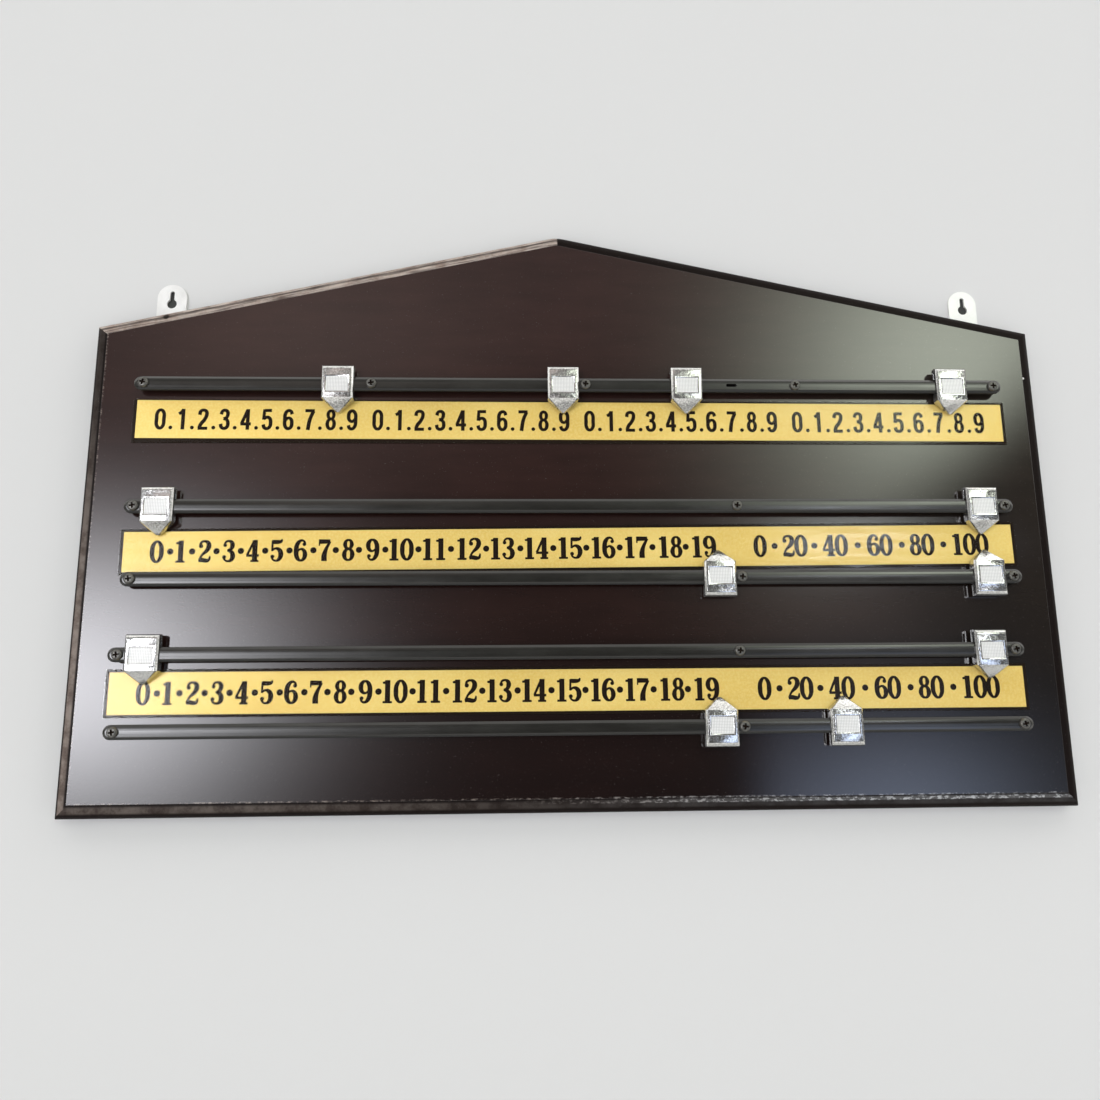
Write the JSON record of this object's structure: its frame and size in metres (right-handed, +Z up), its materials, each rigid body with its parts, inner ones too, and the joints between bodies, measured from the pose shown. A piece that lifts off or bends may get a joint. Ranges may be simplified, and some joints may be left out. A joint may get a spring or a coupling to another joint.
{
  "type": "billiard scoreboard",
  "caption": "Wall-hung gabled scoreboard with number strips under clear covers and pointers that slide along rails.",
  "frame": {"origin": "midway between the round holes of the two keyholes, on the wall side of the hanger plates", "axes": "+Z up the wall, +X to the viewer's right along the rails, -Y out of the wall towards the viewer"},
  "size_m": [0.76, 0.0278, 0.4642],
  "materials": {
    "lacquered_board": "dark stain under gloss lacquer",
    "black_rail": "satin gloss black",
    "black_screw": "blackened",
    "number_strip": "printed gold foil",
    "clear_cover": "clear, polished",
    "chrome_pointer": "plated zinc casting",
    "plated_hanger": "zinc plated"
  },
  "bodies": {
    "board": {"backboard": "lacquered_board", "rail_top": "black_rail", "rail_middle_upper": "black_rail", "rail_middle_lower": "black_rail", "rail_bottom_upper": "black_rail", "rail_bottom_lower": "black_rail", "screws_top_rail": "black_screw", "screws_middle_upper_rail": "black_screw", "screws_middle_lower_rail": "black_screw", "screws_bottom_upper_rail": "black_screw", "screws_bottom_lower_rail": "black_screw", "strip_top": "number_strip", "strip_middle": "number_strip", "strip_bottom": "number_strip", "cover_top": "clear_cover", "cover_middle": "clear_cover", "cover_bottom": "clear_cover", "hanger_plate_left": "plated_hanger", "hanger_plate_right": "plated_hanger"},
    "pointer_top_1": {"pointer_top_1": "chrome_pointer"},
    "pointer_top_2": {"pointer_top_2": "chrome_pointer"},
    "pointer_top_3": {"pointer_top_3": "chrome_pointer"},
    "pointer_top_4": {"pointer_top_4": "chrome_pointer"},
    "pointer_middle_upper_left": {"pointer_middle_upper_left": "chrome_pointer"},
    "pointer_middle_upper_right": {"pointer_middle_upper_right": "chrome_pointer"},
    "pointer_middle_lower_left": {"pointer_middle_lower_left": "chrome_pointer"},
    "pointer_middle_lower_right": {"pointer_middle_lower_right": "chrome_pointer"},
    "pointer_bottom_upper_left": {"pointer_bottom_upper_left": "chrome_pointer"},
    "pointer_bottom_upper_right": {"pointer_bottom_upper_right": "chrome_pointer"},
    "pointer_bottom_lower_left": {"pointer_bottom_lower_left": "chrome_pointer"},
    "pointer_bottom_lower_right": {"pointer_bottom_lower_right": "chrome_pointer"}
  },
  "joints": [
    {"name": "slide_top_1", "type": "slide", "parent": "board", "child": "pointer_top_1", "axis": [1, 0, 0], "range_m": [-0.1332, 0.0096]},
    {"name": "slide_top_2", "type": "slide", "parent": "board", "child": "pointer_top_2", "axis": [1, 0, 0], "range_m": [-0.1344, 0.0012]},
    {"name": "slide_top_3", "type": "slide", "parent": "board", "child": "pointer_top_3", "axis": [1, 0, 0], "range_m": [-0.0639, 0.0705]},
    {"name": "slide_top_4", "type": "slide", "parent": "board", "child": "pointer_top_4", "axis": [1, 0, 0], "range_m": [-0.1106, 0.0172]},
    {"name": "slide_middle_upper_left", "type": "slide", "parent": "board", "child": "pointer_middle_upper_left", "axis": [1, 0, 0], "range_m": [-0.0012, 0.4268]},
    {"name": "slide_middle_upper_right", "type": "slide", "parent": "board", "child": "pointer_middle_upper_right", "axis": [1, 0, 0], "range_m": [-0.1776, 0.0012]},
    {"name": "slide_middle_lower_left", "type": "slide", "parent": "board", "child": "pointer_middle_lower_left", "axis": [1, 0, 0], "range_m": [-0.4277, 0.0003]},
    {"name": "slide_middle_lower_right", "type": "slide", "parent": "board", "child": "pointer_middle_lower_right", "axis": [1, 0, 0], "range_m": [-0.1768, 0.002]},
    {"name": "slide_bottom_upper_left", "type": "slide", "parent": "board", "child": "pointer_bottom_upper_left", "axis": [1, 0, 0], "range_m": [-0.0013, 0.4267]},
    {"name": "slide_bottom_upper_right", "type": "slide", "parent": "board", "child": "pointer_bottom_upper_right", "axis": [1, 0, 0], "range_m": [-0.1765, 0.0023]},
    {"name": "slide_bottom_lower_left", "type": "slide", "parent": "board", "child": "pointer_bottom_lower_left", "axis": [1, 0, 0], "range_m": [-0.4275, 0.0005]},
    {"name": "slide_bottom_lower_right", "type": "slide", "parent": "board", "child": "pointer_bottom_lower_right", "axis": [1, 0, 0], "range_m": [-0.0603, 0.1185]}
  ]
}
